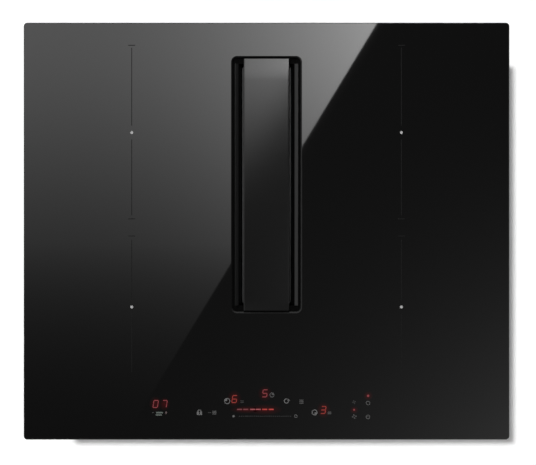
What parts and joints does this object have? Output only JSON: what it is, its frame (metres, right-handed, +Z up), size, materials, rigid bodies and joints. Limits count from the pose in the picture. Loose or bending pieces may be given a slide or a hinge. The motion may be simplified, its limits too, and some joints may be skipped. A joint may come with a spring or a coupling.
{
  "type": "downdraft induction cooktop",
  "caption": "Black glass induction cooktop with a central downdraft intake under a lift-off flap, touch controls, a steel casing and a blower below with a rear duct outlet.",
  "frame": {"origin": "centre of the plane where the seal under the glass rests on the worktop", "axes": "+Z up, +X to the user's right, +Y to the back; the controls are on the -Y side"},
  "size_m": [0.6, 0.515, 0.212],
  "materials": {
    "black_glass": "gloss",
    "seal_foam": "matte",
    "silicone": "matte",
    "frame_black": "satin",
    "flap_black": "satin",
    "filter_steel": "satin",
    "tray_black": "satin",
    "zinc_steel": "satin",
    "copper_winding": "matte",
    "carrier_aluminium": "satin",
    "ferrite": "matte",
    "mica": "matte",
    "circuit_board": "satin",
    "sink_aluminium": "satin",
    "fan_black": "satin",
    "post_white": "satin",
    "display_dark": "gloss",
    "housing_grey": "satin",
    "impeller_grey": "satin",
    "motor_steel": "satin",
    "bracket_zinc": "satin",
    "bolt_steel": "polished"
  },
  "bodies": {
    "chassis": {"air_channel": "housing_grey", "blower_driver": "housing_grey", "board_standoffs": "post_white", "cable_gland": "fan_black", "carrier_pads": "silicone", "carrier_posts": "post_white", "casing_base": "zinc_steel", "casing_front": "zinc_steel", "casing_rear": "zinc_steel", "coil_carrier_left": "carrier_aluminium", "coil_carrier_right": "carrier_aluminium", "coil_front_left": "copper_winding", "coil_front_right": "copper_winding", "coil_rear_left": "copper_winding", "coil_rear_right": "copper_winding", "control_board": "circuit_board", "control_carrier": "post_white", "cooling_fan_left": "fan_black", "cooling_fan_right": "fan_black", "display_modules": "display_dark", "ferrite_bars": "ferrite", "fixing_brackets": "bracket_zinc", "frame_gasket": "silicone", "glass_top": "black_glass", "heat_sinks": "sink_aluminium", "inlet_ring": "housing_grey", "intake_frame": "frame_black", "inverter_boards": "circuit_board", "mains_board": "circuit_board", "mica_sheets": "mica", "motor_bearings": "motor_steel", "motor_bushes": "silicone", "motor_mount": "bracket_zinc", "motor_stator": "motor_steel", "outlet_gasket": "seal_foam", "outlet_spigot": "housing_grey", "plenum_base": "housing_grey", "plenum_ends": "housing_grey", "plenum_sides": "housing_grey", "screws": "bolt_steel", "seal_strip": "seal_foam", "terminal_block": "post_white", "terminal_box": "housing_grey", "touch_pads": "silicone", "volute_bottom": "housing_grey", "volute_top": "housing_grey"},
    "tray": {"drip_tray": "tray_black"},
    "filter": {"filter_frame": "tray_black", "filter_baffles": "filter_steel", "filter_grip": "tray_black"},
    "flap": {"flap": "flap_black", "flap_pads": "silicone"},
    "impeller": {"impeller": "impeller_grey", "motor_rotor": "motor_steel"},
    "cooling_rotor_left": {"cooling_rotor_left": "fan_black"},
    "cooling_rotor_right": {"cooling_rotor_right": "fan_black"},
    "bolt_front_left": {"clamp_bolt_front_left": "bolt_steel"},
    "bolt_front_right": {"clamp_bolt_front_right": "bolt_steel"},
    "bolt_rear_left": {"clamp_bolt_rear_left": "bolt_steel"},
    "bolt_rear_right": {"clamp_bolt_rear_right": "bolt_steel"}
  },
  "joints": [
    {"name": "tray_lift", "type": "slide", "parent": "chassis", "child": "tray", "axis": [0, 0, 1], "range_m": [0, 0.12]},
    {"name": "filter_lift", "type": "slide", "parent": "tray", "child": "filter", "axis": [0, 0, 1], "range_m": [0, 0.12]},
    {"name": "flap_lift", "type": "slide", "parent": "filter", "child": "flap", "axis": [0, 0, 1], "range_m": [0, 0.1]},
    {"name": "impeller_spin", "type": "hinge", "parent": "chassis", "child": "impeller", "pos_m": [0, -0.095, -0.15], "axis": [0, 0, 1], "continuous": true},
    {"name": "cooling_spin_left", "type": "hinge", "parent": "chassis", "child": "cooling_rotor_left", "pos_m": [-0.1665, -0.12, -0.045], "axis": [0, 0, 1], "continuous": true},
    {"name": "cooling_spin_right", "type": "hinge", "parent": "chassis", "child": "cooling_rotor_right", "pos_m": [0.1665, -0.12, -0.045], "axis": [0, 0, 1], "continuous": true},
    {"name": "bolt_front_left_slide", "type": "slide", "parent": "chassis", "child": "bolt_front_left", "axis": [0, 0, 1], "range_m": [-0.01, 0.018]},
    {"name": "bolt_front_right_slide", "type": "slide", "parent": "chassis", "child": "bolt_front_right", "axis": [0, 0, 1], "range_m": [-0.01, 0.018]},
    {"name": "bolt_rear_left_slide", "type": "slide", "parent": "chassis", "child": "bolt_rear_left", "axis": [0, 0, 1], "range_m": [-0.01, 0.018]},
    {"name": "bolt_rear_right_slide", "type": "slide", "parent": "chassis", "child": "bolt_rear_right", "axis": [0, 0, 1], "range_m": [-0.01, 0.018]}
  ]
}
